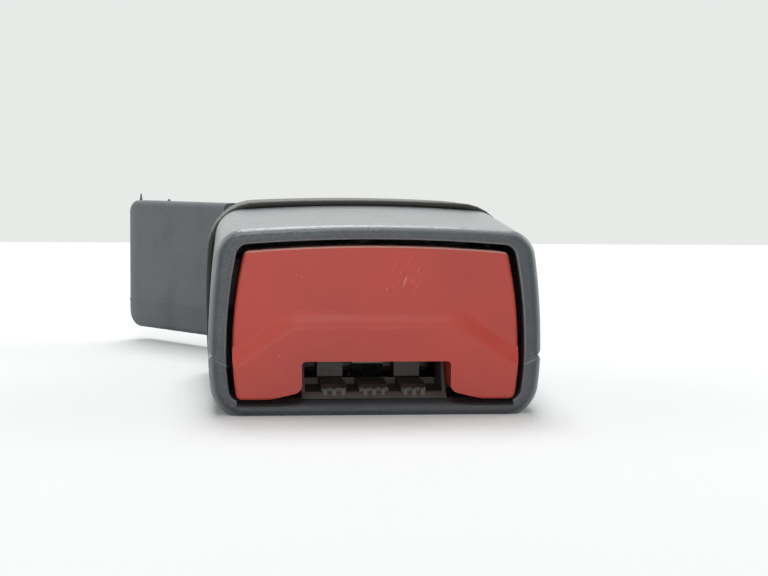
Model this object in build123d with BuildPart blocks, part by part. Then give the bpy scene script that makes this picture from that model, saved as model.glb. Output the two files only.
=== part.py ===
from build123d import *
import os
from math import cos, pi, radians, sin, tan

os.makedirs("parts", exist_ok=True)

# Millimetres. The head lies on its back: +Z is up, +Y runs from its mouth to the stalk.
# The origin is on the flat underside, halfway along the head. Distances marked "in" are
# measured inwards from the front face, and heights from the underside.

# ---------------------------------------------------------------- driving dimensions
# head casing
head_width = 60.1          # widest, just above the parting line
head_length = 58.0         # front face to rear wall
front_height = 34.05       # crown of the top at the front face
top_rise = 4.2             # degrees that the top climbs towards the rear
wall = 2.6                 # casing wall
widest_z = 11.5            # where the bowed sides are widest
foot_in = 1.5              # how far each side draws in down to the foot
top_in = 1.95              # how far each side draws in up to the top
crown = 1.2                # how far the top bows up between its corners
foot_radius = 5.8
top_radius = 5.4
side_rim = 3.2             # front rim beside the button
top_rim = 2.55             # front rim above the button
lip_thickness = 1.55       # front rim below the button
lip_depth = 4.0            # behind the lip the floor is as thick as the wall
front_edge_radius = 1.7
mouth_chamfer = 0.3
parting_z = 10.8           # joint between the covers, on the outside
joint_drop = 1.6           # how far the joint slopes down across the rim
groove = 0.8               # half height of the V groove along the joint
groove_depth = 0.7
seam_depth = 0.45          # the joint's groove across the front face

# neck under the soft boot
neck_in = 36.5             # where the boot's mouth sits
neck_step = 1.5            # how far the neck is set back from the casing's outside
neck_wall = 2.1
rear_wall = 2.6

# tongue
tongue_width = 25.0
tongue_thickness = 3.0
slot_play = 0.9            # beside the tongue in the button's slot
slot_headroom = 1.75       # above the tongue in the button's slot

# press button
button_gap = 1.1           # all round between the button and the rim
button_foot_in = 0.8       # how far each side draws in down to the foot
button_top_in = 2.1        # how far each side draws in up to the top
button_crown = 1.05
button_waist_z = 11.5
button_foot_gap = 0.3      # over the floor that it slides on
button_face_in = 0.6       # how far the face sits behind the casing's rim
button_corner = 1.2
button_edge_radius = 0.6
mouth_foot_radius = 2.0    # lower corners of the casing's opening
button_skin = 2.0
button_depth = 12.0        # length of the skirt behind the face
button_travel = 6.0
pout = 1.1                 # how far the lower face swells out over the slot
pout_top = 17.4            # height where the swelling begins
swell_half = 15.0          # half width of the swelling's top edge
swell_slope = 34.6         # degrees that its ends slant down
swell_softness = 1.8       # half width of its soft border
leg_flare = 6.0            # the legs' feet rise towards the slot over this width
leg_rise = 1.4
roof_depth = 7.7           # length of the slot's roof and cheeks behind the face
arm_half_in = 17.9         # inner face of the arms
arm_thickness = 2.2
arm_foot_z = 5.6
skirt_wall = 1.8
rail_thickness = 1.6       # rails in the lower cover beside the arms

# steel frame
sheet = 2.2                # frame sheet thickness
frame_inner_half = 14.0
low_wall_top = 10.3        # front part of the side walls
pivot_wall_top = 19.0
rivet_wall_top = 27.0

# latch; "reach" is how far in front of the pivot
latch_angle = 15.0         # lift when the button is fully pressed
pivot_in = 38.0
pivot_z = 14.5
pin_radius = 2.0
latch_sheet = 2.0
latch_under_z = 10.9       # underside of the latch plate when it is down
tooth_reach = 20.0
tooth_length = 3.5
tooth_half = 2.95
tooth_tip_z = 4.0
ear_reach = 12.5
ear_length = 3.0
ear_half = 20.5
flange_reach = 8.0

# ejector
prong_inner = 4.9
prong_outer = 9.7
prong_length = 7.0
ejector_length = 10.0      # body behind the prongs
pocket_depth = 3.0         # for its springs
ejector_half = 12.9
ejector_top = 10.2

# springs: outer radius, wire
ejector_spring_x = 7.5
ejector_spring_z = 7.6
ejector_spring_radius = 2.05
ejector_wire = 0.5
button_spring_x = 20.0
button_spring_z = 22.0
button_spring_radius = 2.8
button_wire = 0.6
button_seat_in = 27.0
latch_spring_reach = 9.4
latch_spring_radius = 3.0
latch_wire = 0.6
latch_seat_z = 24.0
spigot_play = 0.3          # radial, a spigot inside its spring
spigot_length = 4.0
spring_wall = 2.2          # walls that the button's springs push on
spring_wall_height = 9.0

# stalk
strap_thickness = 3.0
strap_height = 29.0
strap_z = 19.65            # middle of the strap's height
eye_radius = 8.0
rivet_from_rear = 9.5
rivet_radius = 4.0
bend_behind_head = 7.0
bend_angle = 36.5          # degrees to the left of straight back
bend_radius = 7.0
tail_length = 81.0         # from the bend's corner to the end of the steel
tail_corner = 4.0
bolt_hole_radius = 6.0
bolt_hole_at = 30.0        # from the bend's corner

# soft pieces
boot_proud_side = 0.7
boot_proud_top = 1.25
boot_corner = 8.5
boot_side_in = 1.0         # how far each side draws in up to the top and down to the foot
boot_behind_head = 3.0     # straight part behind the head
boot_end_at = 13.0         # end of the boot, from the bend's corner
boot_end_half = 5.0
boot_end_over = 1.7        # over the strap's edges at its end
boot_wall = 1.3
sheath_start_at = 41.5
sheath_wall = 1.65         # over the strap's edges
sheath_side_wall = 1.5     # over the strap's broad faces
sheath_corner = 3.8
sheath_edge = 1.5

# clearances
slip = 0.1                 # between a moulding and what it sits against
run = 0.05                 # radial, a pin in its hole
glide = 0.2                # a sliding piece beside its guide
soft_gap = 0.2             # a soft skin over what it covers
ramp_gap = 0.15            # the latch's ears above the button's ramps

# ---------------------------------------------------------------- derived places
face_y = -head_length / 2
rear_y = head_length / 2
foot_half = head_width / 2 - foot_in
top_half = head_width / 2 - top_in
base_z = wall                                # the frame stands on the floor
base_top = base_z + sheet
path_z = base_top + glide                    # underside of the tongue's path
slot_half = tongue_width / 2 + slot_play
slot_top = path_z + tongue_thickness + slot_headroom
button_waist_half = head_width / 2 - side_rim - button_gap
button_foot_half = button_waist_half - button_foot_in
button_top_half = button_waist_half - button_top_in
button_top = front_height - top_rim - button_gap - button_crown
button_foot_z = wall + button_foot_gap
frame_outer_half = frame_inner_half + sheet
tooth_in = pivot_in - tooth_reach
ear_in = pivot_in - ear_reach
flange_in = pivot_in - flange_reach
latch_spring_in = pivot_in - latch_spring_reach
spring_wall_start = button_spring_x - button_spring_radius - 0.9
spring_wall_end = head_width / 2 - wall + 0.4
frame_in = tooth_in - 2.5                    # the frame's base starts ahead of the tooth
base_end_in = neck_in - wall - 0.2           # short of the neck's thicker floor
arm_in = pivot_in - 6.0                      # where the button's arms end
rail_in = arm_in - button_travel - 6.0
ejector_in = tooth_in - 2.0                  # front of the prongs
ejector_body_in = ejector_in + prong_length
ejector_rear_in = ejector_body_in + ejector_length
rivet_in = head_length - rivet_from_rear
pivot_y = face_y + pivot_in
rivet_y = face_y + rivet_in
bend_y = rear_y + bend_behind_head
tail_x = -sin(radians(bend_angle))           # direction of the stalk's tail
tail_y = cos(radians(bend_angle))


def top_height(distance_in):
    """Height of the casing's crown at a distance behind the front face."""
    return front_height + distance_in * tan(radians(top_rise))


def across(distance_in):
    """Plane across the head at a distance behind the front face: X right, Y up."""
    return Plane.XZ.offset(-(face_y + distance_in))


def across_tail(distance):
    """Plane across the stalk's tail at a distance from the bend's corner."""
    return Plane(
        origin=(tail_x * distance, bend_y + tail_y * distance, 0),
        x_dir=(tail_y, -tail_x, 0),
        z_dir=(-tail_x, -tail_y, 0),
    )


def turned(y, z, angle):
    """Where a point of the latch goes when the latch is lifted by an angle."""
    dy = y - pivot_y
    dz = z - pivot_z
    return (
        pivot_y + dy * cos(radians(angle)) + dz * sin(radians(angle)),
        pivot_z - dy * sin(radians(angle)) + dz * cos(radians(angle)),
    )


def bowed_outline(foot, waist, top, bow, corners):
    """Section with bowed sides and a crowned top.

    foot, waist and top are each a half width and its height, bow is the top's rise, and
    corners are the radii at the foot and at the top.
    """
    with BuildSketch() as outline:
        with BuildLine():
            Line((-foot[0], foot[1]), foot)
            ThreePointArc((-top[0], top[1]), (0, top[1] + bow), top)
            for side in (-1, 1):
                widest = (side * waist[0], waist[1])
                TangentArc(widest, (side * foot[0], foot[1]), tangent=(0, -1))
                TangentArc(widest, (side * top[0], top[1]), tangent=(0, 1))
        make_face()
        fillet(outline.vertices().group_by(Axis.Y)[0], corners[0])
        fillet(outline.vertices().group_by(Axis.Y)[-1], corners[1])
    return outline.sketch


def casing_outline(height, inset=0.0, foot_z=None):
    """Section of the head, or of the room inside it."""
    low = inset if foot_z is None else foot_z
    return bowed_outline(
        (foot_half - inset, low),
        (head_width / 2 - inset, widest_z),
        (top_half - inset, height - crown - inset),
        crown,
        (foot_radius - low, top_radius - inset),
    )


def button_block(inset=0.0):
    """Front view of the button before its slot is cut, or of the hollow behind it."""
    return bowed_outline(
        (button_foot_half - inset, button_foot_z + inset),
        (button_waist_half - inset, button_waist_z),
        (button_top_half - inset, button_top - inset),
        button_crown,
        (button_corner, button_corner),
    )


def mouth_outline():
    """The casing's opening round the button, down to the floor."""
    return bowed_outline(
        (button_foot_half + button_gap, wall),
        (button_waist_half + button_gap, button_waist_z),
        (button_top_half + button_gap, button_top + button_gap),
        button_crown,
        (mouth_foot_radius, button_corner + button_gap),
    )


def button_slot(inset=0.0):
    """The slot for the tongue, open at the button's foot, where the legs flare away."""
    with BuildSketch() as slot:
        with BuildLine():
            flare_z = button_foot_z + leg_rise + inset
            Polyline(
                (slot_half + inset, slot_top + inset),
                (slot_half + inset, flare_z),
                (slot_half + inset + leg_flare, flare_z - leg_rise),
                (slot_half + inset + leg_flare, -1),
                (-slot_half - inset - leg_flare, -1),
                (-slot_half - inset - leg_flare, flare_z - leg_rise),
                (-slot_half - inset, flare_z),
                (-slot_half - inset, slot_top + inset),
                close=True,
            )
        make_face()
        fillet(slot.vertices().group_by(Axis.Y)[-1], 0.7)
        fillet(slot.vertices().filter_by(lambda v: abs(v.Y - flare_z) < 0.01), 1.6)
    return slot.sketch


def swell_outline(grow):
    """Border of the swelling over the slot, moved outwards by an amount."""
    slope = tan(radians(swell_slope))
    corner = swell_half + grow * tan(radians(swell_slope / 2))
    side = head_width / 2
    side_z = pout_top + grow - (side - corner) * slope
    with BuildSketch() as border:
        with BuildLine():
            Polyline(
                (-side, -2), (side, -2), (side, side_z), (corner, pout_top + grow),
                (-corner, pout_top + grow), (-side, side_z), close=True,
            )
        make_face()
        fillet(border.vertices().group_by(Axis.Y)[-1], 6.0)
    return border.sketch


def boot_outline(share, inset=0.0):
    """Section of the boot, from its full size (0) to its end round the strap (1)."""
    ease = share * share * (3 - 2 * share)
    half = head_width / 2 + boot_proud_side
    full_top = top_height(neck_in) + boot_proud_top - crown
    end_low = strap_z - strap_height / 2 - boot_end_over
    end_high = strap_z + strap_height / 2 + boot_end_over - 0.3
    half += (boot_end_half - half) * ease - inset
    draw_in = boot_side_in * (1 - ease) + 0.2 * ease
    low = end_low * ease + inset
    high = full_top + (end_high - full_top) * ease - inset
    return bowed_outline(
        (half - draw_in, low),
        (half, strap_z),
        (half - draw_in, high),
        crown * (1 - ease) + 0.3 * ease,
        (foot_radius * (1 - ease) + 2.4 * ease - inset,
         boot_corner * (1 - ease) + 2.4 * ease - inset),
    )


def boot_plane(share):
    """Plane of the boot's section at a share of the way from the head to its end."""
    start_y = rear_y + boot_behind_head
    angle = bend_angle * share**3            # the wide end stays square to the head
    bend = 2 * share * (1 - share)
    end = share * share
    return Plane(
        origin=(
            end * tail_x * boot_end_at,
            (1 - share) ** 2 * start_y + bend * bend_y + end * (bend_y + tail_y * boot_end_at),
            0,
        ),
        x_dir=(cos(radians(angle)), sin(radians(angle)), 0),
        z_dir=(sin(radians(angle)), -cos(radians(angle)), 0),
    )


def coil_spring(seat, length, outer_radius, wire, turns):
    """Compression spring standing on a plane."""
    with BuildPart() as coil:
        with BuildLine():
            winding = Helix(
                pitch=(length - wire) / turns,
                height=length - wire,
                radius=outer_radius - wire / 2,
                center=(0, 0, wire / 2),
            )
        with BuildSketch(Plane(origin=winding @ 0, x_dir=(1, 0, 0), z_dir=winding % 0)):
            RegularPolygon(wire / 2, 4)
        sweep(is_frenet=True)
    with BuildPart() as spring:
        with Locations(seat.location):
            add(coil.part)
    return spring


# ---------------------------------------------------------------- casing
# Outer skin of both covers in one piece, split along the joint afterwards.
room_end_in = neck_in - wall
spare = 0.8                # the skin starts this far below the underside and is cut flat

with BuildPart() as casing:
    with BuildSketch(across(0)):
        add(casing_outline(top_height(0), foot_z=-spare))
    with BuildSketch(across(neck_in)):
        add(casing_outline(top_height(neck_in), foot_z=-spare))
    loft()
    rim = casing.faces().sort_by(Axis.Y)[0]
    fillet(rim.edges(), front_edge_radius)
    split(bisect_by=Plane.XY, keep=Keep.TOP)
    # the neck is level, and starts inside the head
    with BuildSketch(across(room_end_in)):
        add(casing_outline(top_height(neck_in), inset=neck_step))
    extrude(amount=room_end_in - head_length)
    fillet(casing.faces().sort_by(Axis.Y)[-1].edges(), 2.0)
    # open room for the button and the mechanism, its mouth follows the button
    with BuildSketch(across(-1)):
        add(mouth_outline())
    with BuildSketch(across(room_end_in)):
        add(casing_outline(top_height(room_end_in), inset=wall))
    loft(mode=Mode.SUBTRACT)
    mouth = casing.faces().sort_by(Axis.Y)[0].inner_wires()
    chamfer(mouth.edges(), mouth_chamfer)
    # the lip is thinner than the floor and slopes up to it
    with BuildSketch(Plane.YZ):
        with BuildLine():
            Polyline(
                (face_y - 1, lip_thickness),
                (face_y + 0.5, lip_thickness),
                (face_y + lip_depth, wall),
                (face_y + lip_depth, wall + 1),
                (face_y - 1, wall + 1),
                close=True,
            )
        make_face()
    extrude(amount=button_foot_half, both=True, mode=Mode.SUBTRACT)
    # smaller room inside the neck
    with BuildSketch(across(room_end_in - wall)):
        add(casing_outline(top_height(neck_in), inset=neck_step + neck_wall))
    extrude(amount=room_end_in - wall + rear_wall - head_length, mode=Mode.SUBTRACT)
    # raised floor behind the frame's base, level with the base
    with BuildSketch(Plane.XY.offset(neck_step)):
        with Locations((0, face_y + (base_end_in + slip + head_length - rear_wall) / 2)):
            Rectangle(2 * frame_outer_half + 4, head_length - rear_wall - base_end_in - slip)
    extrude(amount=base_top - neck_step)

# the covers meet on a joint that slopes down across the rim
joint_half = head_width / 2 - side_rim - 0.4
with BuildPart() as below_joint:
    with BuildSketch(across(-1)):
        with BuildLine():
            Polyline(
                (-head_width, -1),
                (head_width, -1),
                (head_width, parting_z),
                (head_width / 2, parting_z),
                (joint_half, parting_z - joint_drop),
                (-joint_half, parting_z - joint_drop),
                (-head_width / 2, parting_z),
                (-head_width, parting_z),
                close=True,
            )
        make_face()
    extrude(amount=-head_length - 2)

with BuildPart() as joint_groove:
    for side in (-1, 1):
        with BuildSketch(across(-1)):
            with BuildLine():
                Polyline(
                    (side * (head_width / 2 + 1), parting_z + groove),
                    (side * head_width / 2, parting_z + groove),
                    (side * (head_width / 2 - groove_depth), parting_z),
                    (side * head_width / 2, parting_z - groove),
                    (side * (head_width / 2 + 1), parting_z - groove),
                    close=True,
                )
            make_face()
        extrude(amount=-neck_in - 2)
    # shallower across the front face
    for side in (-1, 1):
        seam = Plane(
            origin=(side * joint_half, face_y, parting_z - joint_drop),
            x_dir=(0, 1, 0),
            z_dir=(side * (head_width / 2 - joint_half), 0, joint_drop),
        )
        with BuildSketch(seam):
            RegularPolygon(seam_depth, 4)
        extrude(amount=front_edge_radius + side_rim)

# slot for the strap through the rear wall, open down to the joint
strap_slot_half = strap_thickness / 2 + 0.7
strap_slot_top = strap_z + eye_radius + 1.0

with BuildPart() as upper_cover:
    add(casing.part)
    add(below_joint.part, mode=Mode.SUBTRACT)
    add(joint_groove.part, mode=Mode.SUBTRACT)
    # ribs that press the frame's rear walls down
    for side in (-1, 1):
        with BuildSketch(Plane.XY.offset(rivet_wall_top + slip)):
            with Locations((side * (frame_inner_half + sheet / 2), rivet_y)):
                Rectangle(1.6, 9)
        extrude(amount=top_height(neck_in) - neck_step - neck_wall - rivet_wall_top + 0.5)
    # walls behind the button, each with a spigot for its spring
    for side in (-1, 1):
        with BuildSketch(across(button_seat_in)):
            with Locations((side * (spring_wall_start + spring_wall_end) / 2, button_spring_z)):
                Rectangle(spring_wall_end - spring_wall_start, spring_wall_height)
        extrude(amount=-spring_wall)
        with BuildSketch(across(button_seat_in)):
            with Locations((side * button_spring_x, button_spring_z)):
                Circle(button_spring_radius - button_wire - spigot_play)
        extrude(amount=spigot_length)
    # post over the latch, with a spigot inside the latch spring
    with BuildSketch(Plane.XY.offset(latch_seat_z)):
        with Locations((0, face_y + latch_spring_in)):
            Circle(latch_spring_radius + 1.2)
    extrude(amount=top_height(latch_spring_in) - wall - latch_seat_z + 0.5)
    with BuildSketch(Plane.XY.offset(latch_seat_z)):
        with Locations((0, face_y + latch_spring_in)):
            Circle(latch_spring_radius - latch_wire - spigot_play)
    extrude(amount=1 - spigot_length)
    # way out for the stalk
    with BuildSketch(across(head_length - rear_wall - 1)):
        with Locations((0, (parting_z - joint_drop + strap_slot_top) / 2 - 0.5)):
            RectangleRounded(
                2 * strap_slot_half, strap_slot_top - parting_z + joint_drop + 1, 1.0
            )
    extrude(amount=-rear_wall - 2, mode=Mode.SUBTRACT)

with BuildPart() as lower_cover:
    add(casing.part)
    add(below_joint.part, mode=Mode.INTERSECT)
    add(joint_groove.part, mode=Mode.SUBTRACT)
    # rails beside the button's arms
    for side in (-1, 1):
        rail_x = side * (arm_half_in + arm_thickness + glide + rail_thickness / 2)
        with BuildSketch(Plane.XY.offset(wall - 0.5)):
            with Locations((rail_x, face_y + (rail_in + arm_in) / 2)):
                Rectangle(rail_thickness, arm_in - rail_in)
        extrude(amount=7)
    # pads that the frame is pressed between
    for side in (-1, 1):
        with BuildSketch(Plane.XY.offset(wall - 0.5)):
            with Locations((side * (frame_outer_half + slip + 0.6), face_y + frame_in + 3)):
                Rectangle(1.2, 5)
        extrude(amount=3)

# ---------------------------------------------------------------- press button
ear_start = (face_y + ear_in, latch_under_z)
ear_end = turned(face_y + ear_in, latch_under_z, latch_angle)
ramp_top_y = ear_end[0] - button_travel
ramp_top_z = ear_end[1] - ramp_gap
ramp_foot_z = latch_under_z - ramp_gap

# room that the swollen lower face may fill
with BuildPart() as button_front:
    with BuildSketch(across(button_face_in + 1)):
        add(button_block())
    extrude(amount=pout + 1)
    fillet(button_front.faces().sort_by(Axis.Y)[0].edges(), button_edge_radius)

with BuildPart() as swelling:
    for step in range(5):
        rise = pout * (1 - cos(pi * step / 4)) / 2
        with BuildSketch(across(button_face_in + 0.02 - rise)):
            add(swell_outline(swell_softness * (1 - step / 2)))
    loft()
    add(button_front.part, mode=Mode.INTERSECT)

with BuildPart() as press_button:
    with BuildSketch(across(button_face_in)):
        add(button_block())
    extrude(amount=-button_depth)
    fillet(press_button.faces().sort_by(Axis.Y)[0].edges(), button_edge_radius)
    add(swelling.part)
    # slot for the tongue
    with BuildSketch(across(-pout)):
        add(button_slot())
    extrude(amount=-button_depth - button_face_in - pout - 1, mode=Mode.SUBTRACT)
    # hollow behind the skin
    with BuildSketch(across(button_face_in + button_skin)):
        add(button_block(inset=skirt_wall))
        add(button_slot(inset=skirt_wall), mode=Mode.SUBTRACT)
    extrude(amount=-button_depth, mode=Mode.SUBTRACT)
    # room for the frame and the latch behind the slot's roof and cheeks
    with BuildSketch(across(button_face_in + roof_depth)):
        Rectangle(2 * (frame_outer_half + 1.6), 2 * (slot_top + skirt_wall + 1.5))
    extrude(amount=-button_depth, mode=Mode.SUBTRACT)
    # side arms, each with a ramp under the latch's ear
    for start in (arm_half_in, -arm_half_in - arm_thickness):
        with BuildSketch(Plane.YZ.offset(start)):
            with BuildLine():
                Polyline(
                    (face_y + button_face_in + 1, arm_foot_z),
                    (face_y + arm_in, arm_foot_z),
                    (face_y + arm_in, ramp_foot_z - 1),
                    (face_y + arm_in - 1, ramp_foot_z),
                    (ear_start[0], ramp_foot_z),
                    (ramp_top_y, ramp_top_z),
                    (face_y + button_face_in + 1, ramp_top_z),
                    close=True,
                )
            make_face()
        extrude(amount=arm_thickness)
    # spigots for the return springs
    with BuildSketch(across(button_face_in + button_skin)):
        with Locations((button_spring_x, button_spring_z), (-button_spring_x, button_spring_z)):
            Circle(button_spring_radius - button_wire - spigot_play)
    extrude(amount=-spigot_length)

# ---------------------------------------------------------------- tongue guide
guide_in = 3.2             # front of the guide
guide_half = slot_half - glide
cheek = 0.6                # thin walls beside the tongue
cheek_top = slot_top - 0.45
lug_in = 5.0               # front of the two wide lugs
lug_centre = 7.3
lug_width = 4.5
lug_front = 1.2            # the lugs' upper front edge slopes over this length
rib_width = 0.7
rib_proud = 0.5            # how far the ribs stand out of a lug's front
rib_spacing = 1.6
middle_width = 3 * rib_width + 2 * rib_spacing
guide_end = face_y + frame_in - glide

with BuildPart() as tongue_guide:
    # sole with a ramp up from the lip
    with BuildSketch(Plane.YZ.offset(-guide_half)):
        with BuildLine():
            Polyline(
                (face_y + guide_in, base_z),
                (guide_end, base_z),
                (guide_end, base_top - 1.2),
                (face_y + guide_in + 1.5, base_top - 1.2),
                close=True,
            )
        make_face()
    extrude(amount=2 * guide_half)
    # lugs at both sides and a narrower one in the middle
    for lug_x, width in ((-lug_centre, lug_width), (0, middle_width), (lug_centre, lug_width)):
        with BuildSketch(Plane.YZ.offset(lug_x - width / 2)):
            with BuildLine():
                Polyline(
                    (face_y + lug_in, base_z + 0.4),
                    (guide_end, base_z + 0.4),
                    (guide_end, base_top),
                    (face_y + lug_in + lug_front, base_top),
                    (face_y + lug_in, base_top - 0.5),
                    close=True,
                )
            make_face()
        extrude(amount=width)
    # thin ribs on the lugs' fronts
    for rib_x in (-lug_centre, 0, lug_centre):
        for count in (-1, 0, 1):
            with BuildSketch(Plane.YZ.offset(rib_x + count * rib_spacing - rib_width / 2)):
                with BuildLine():
                    Polyline(
                        (face_y + guide_in + 0.7, base_z + 0.4),
                        (face_y + lug_in + lug_front, base_z + 0.4),
                        (face_y + lug_in + lug_front, base_top),
                        (face_y + lug_in - rib_proud, base_top - 0.6),
                        close=True,
                    )
                make_face()
            extrude(amount=rib_width)
    # cheeks
    for start in (-guide_half, guide_half - cheek):
        with BuildSketch(Plane.YZ.offset(start)):
            with BuildLine():
                Polyline(
                    (face_y + guide_in + 1.5, base_z + 0.4),
                    (guide_end, base_z + 0.4),
                    (guide_end, cheek_top),
                    (face_y + guide_in + 4.5, cheek_top),
                    close=True,
                )
            make_face()
        extrude(amount=cheek)

# ---------------------------------------------------------------- steel frame
frame_end_in = head_length - rear_wall - 0.4
window_half = tooth_half + 1.1
seat_in = rivet_in + 1.5   # face that the ejector's springs push on
seat_length = 3.0
tab_foot_z = base_top + 1.0
tab_height = 3.0

with BuildPart() as frame:
    with BuildSketch(Plane.YZ):
        with BuildLine():
            Polyline(
                (face_y + frame_in, base_z),
                (face_y + base_end_in, base_z),
                (face_y + base_end_in, base_top + run),
                (face_y + frame_end_in, base_top + run),
                (face_y + frame_end_in, rivet_wall_top),
                (rivet_y - 6, rivet_wall_top),
                (pivot_y + 3, pivot_wall_top),
                (pivot_y - 4, pivot_wall_top),
                (pivot_y - 6.5, low_wall_top),
                (face_y + frame_in, low_wall_top),
                close=True,
            )
        make_face()
    extrude(amount=frame_outer_half, both=True)
    sharp = frame.edges().filter_by(Axis.X)
    fillet(sharp.filter_by(lambda e: e.center().Z > low_wall_top - 0.1), 1.6)
    with BuildSketch(Plane.XY.offset(base_top)):
        Rectangle(2 * frame_inner_half, 2 * head_length)
    extrude(amount=rivet_wall_top, mode=Mode.SUBTRACT)
    folds = frame.edges().filter_by(Axis.Y)
    fillet(folds.group_by(Axis.Z)[0], sheet - 0.4)
    # window in the base that the latch's tooth reaches into
    with BuildSketch(Plane.XY.offset(base_z - 1)):
        with Locations((0, face_y + tooth_in + tooth_length / 2)):
            RectangleRounded(2 * window_half, tooth_length + 3.2, 1.0)
    extrude(amount=sheet + 2, mode=Mode.SUBTRACT)
    # pin and rivet holes, and the windows for the spring seat's tabs
    with BuildSketch(Plane.YZ):
        with Locations((pivot_y, pivot_z)):
            Circle(pin_radius + run)
        with Locations((rivet_y, strap_z)):
            Circle(rivet_radius + run)
        with Locations((face_y + seat_in + seat_length / 2, tab_foot_z + tab_height / 2)):
            Rectangle(seat_length + 2 * slip, tab_height + 2 * slip)
    extrude(amount=frame_outer_half + 1, both=True, mode=Mode.SUBTRACT)

# ---------------------------------------------------------------- latch
latch_half = frame_inner_half - 0.4
boss_radius = pivot_z - latch_under_z

with BuildPart() as latch:
    with BuildSketch(Plane.XY.offset(latch_under_z)):
        with BuildLine():
            Polyline(
                (-tooth_half, face_y + tooth_in),
                (tooth_half, face_y + tooth_in),
                (tooth_half, face_y + tooth_in + tooth_length + 0.5),
                (latch_half - 4, face_y + ear_in),
                (latch_half, flange_in + face_y),
                (latch_half, face_y + flange_in + 3),
                (-latch_half, face_y + flange_in + 3),
                (-latch_half, flange_in + face_y),
                (-latch_half + 4, face_y + ear_in),
                (-tooth_half, face_y + tooth_in + tooth_length + 0.5),
                (-tooth_half, face_y + tooth_in),
            )
        make_face()
        with Locations((0, face_y + ear_in + ear_length / 2)):
            RectangleRounded(2 * ear_half, ear_length, 0.8)
    extrude(amount=latch_sheet)
    # tooth with a lead-in that the tongue lifts
    with BuildSketch(Plane.YZ):
        with BuildLine():
            Polyline(
                (face_y + tooth_in, latch_under_z + latch_sheet),
                (face_y + tooth_in, tooth_tip_z + 3.2),
                (face_y + tooth_in + 1.6, tooth_tip_z),
                (face_y + tooth_in + tooth_length, tooth_tip_z),
                (face_y + tooth_in + tooth_length, latch_under_z + latch_sheet),
                (face_y + tooth_in, latch_under_z + latch_sheet),
            )
        make_face()
    extrude(amount=tooth_half, both=True)
    # flanges folded up on both sides, round at the pin
    for start in (latch_half - latch_sheet, -latch_half):
        with BuildSketch(Plane.YZ.offset(start)):
            with Locations((pivot_y, pivot_z)):
                Circle(boss_radius)
            with BuildLine():
                Polyline(
                    (face_y + flange_in, latch_under_z),
                    (pivot_y, latch_under_z),
                    (pivot_y, pivot_z + boss_radius),
                    (face_y + flange_in + 3, pivot_z),
                    (face_y + flange_in, latch_under_z + latch_sheet),
                    (face_y + flange_in, latch_under_z),
                )
            make_face()
            with Locations((pivot_y, pivot_z)):
                Circle(pin_radius + run, mode=Mode.SUBTRACT)
        extrude(amount=latch_sheet)

# pin with a head on the left and a groove for its clip on the right
pin_head = 1.2
clip_sheet = 0.6
clip_at = frame_outer_half + slip + 0.1

with BuildPart() as latch_pivot_pin:
    with BuildSketch(Plane.YZ.offset(-frame_outer_half - slip)):
        with Locations((pivot_y, pivot_z)):
            Circle(pin_radius)
    extrude(amount=frame_outer_half + slip + clip_at + clip_sheet + 0.5)
    with BuildSketch(Plane.YZ.offset(-frame_outer_half - slip)):
        with Locations((pivot_y, pivot_z)):
            Circle(pin_radius + 1.2)
    extrude(amount=-pin_head)
    with BuildSketch(Plane.YZ.offset(clip_at - run)):
        with Locations((pivot_y, pivot_z)):
            Circle(pin_radius + 1)
            Circle(pin_radius - 0.5, mode=Mode.SUBTRACT)
    extrude(amount=clip_sheet + 2 * run, mode=Mode.SUBTRACT)

with BuildPart() as latch_pin_clip:
    with BuildSketch(Plane.YZ.offset(clip_at)):
        with Locations((pivot_y, pivot_z)):
            Circle(pin_radius + 1.6)
            Circle(pin_radius - 0.5 + run, mode=Mode.SUBTRACT)
        with Locations((pivot_y, pivot_z + pin_radius + 0.6)):
            Rectangle(2 * pin_radius - 1.4, 2 * pin_radius + 1.2, mode=Mode.SUBTRACT)
    extrude(amount=clip_sheet)

# ---------------------------------------------------------------- ejector
pocket_in = ejector_rear_in - pocket_depth

with BuildPart() as ejector:
    with BuildSketch(Plane.XY.offset(path_z)):
        with Locations((0, face_y + (ejector_body_in + ejector_rear_in) / 2)):
            Rectangle(2 * ejector_half, ejector_rear_in - ejector_body_in)
    extrude(amount=ejector_top - path_z)
    fillet(ejector.edges().filter_by(Axis.Z), 1.2)
    chamfer(ejector.faces().sort_by(Axis.Z)[0].edges().filter_by(Axis.Y), 1.0)
    with BuildSketch(Plane.XY.offset(path_z)):
        for side in (-1, 1):
            with Locations((side * (prong_inner + prong_outer) / 2, face_y + ejector_in + 4)):
                Rectangle(prong_outer - prong_inner, 8)
    extrude(amount=tongue_thickness - 0.2)
    with BuildSketch(across(ejector_rear_in + 1)):
        for side in (-1, 1):
            with Locations((side * ejector_spring_x, ejector_spring_z)):
                Circle(ejector_spring_radius + 0.2)
    extrude(amount=ejector_rear_in + 1 - pocket_in, mode=Mode.SUBTRACT)

seat_top = strap_z - eye_radius - 0.4

with BuildPart() as spring_seat:
    with BuildSketch(Plane.XY.offset(base_top + slip)):
        with Locations((0, face_y + seat_in + seat_length / 2)):
            Rectangle(2 * (frame_inner_half - slip), seat_length)
    extrude(amount=seat_top - base_top - slip)
    with BuildSketch(across(seat_in)):
        for side in (-1, 1):
            with Locations((side * ejector_spring_x, ejector_spring_z)):
                Circle(ejector_spring_radius - ejector_wire - spigot_play)
    extrude(amount=spigot_length)
    # tabs that snap into the frame's windows
    for start in (-frame_outer_half, frame_inner_half - 1):
        with BuildSketch(Plane.YZ.offset(start)):
            with Locations((face_y + seat_in + seat_length / 2, tab_foot_z + tab_height / 2)):
                Rectangle(seat_length, tab_height)
        extrude(amount=sheet + 1)

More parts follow.
